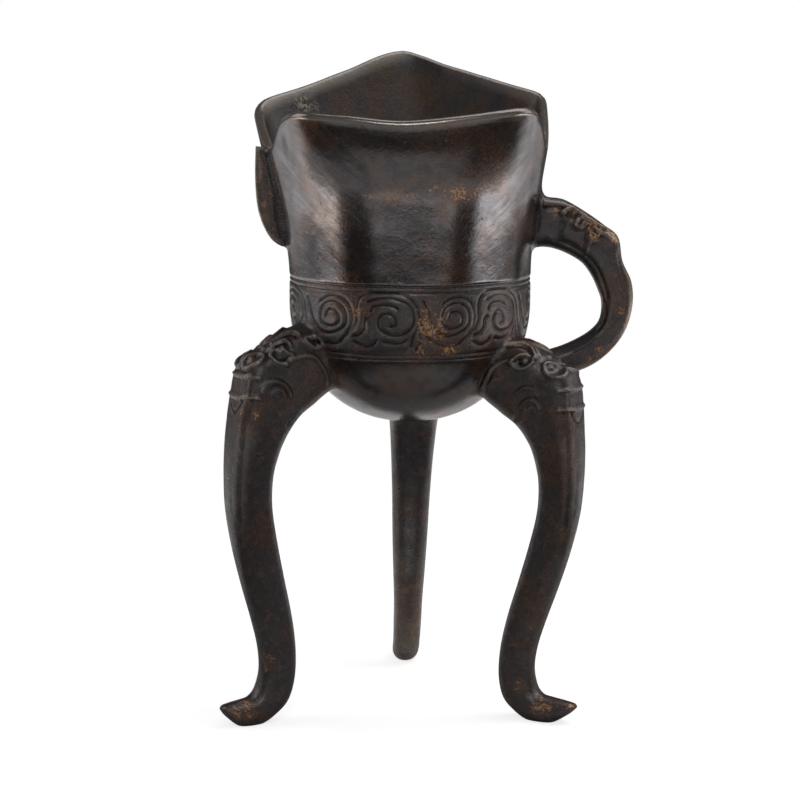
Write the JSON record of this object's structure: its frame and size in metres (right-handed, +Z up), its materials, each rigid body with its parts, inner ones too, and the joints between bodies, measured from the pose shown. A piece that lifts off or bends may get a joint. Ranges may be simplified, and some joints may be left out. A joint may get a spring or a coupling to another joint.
{
  "type": "tripod wine cup",
  "caption": "Bronze jue wine cup: round hollow bowl drawn out to a lip and a pointed tail, standing on elephant-head legs, with a loop handle and a side flange.",
  "frame": {"origin": "on the ground under the middle of the cup's bounding box", "axes": "+Z up, -Y towards the pouring lip, +X towards the handle"},
  "size_m": [0.1108, 0.0912, 0.1761],
  "materials": {
    "bronze": "dark brown-black patina, satin, worn coppery on the high points"
  },
  "bodies": {
    "root": {"jue_cup": "bronze"}
  },
  "joints": []
}
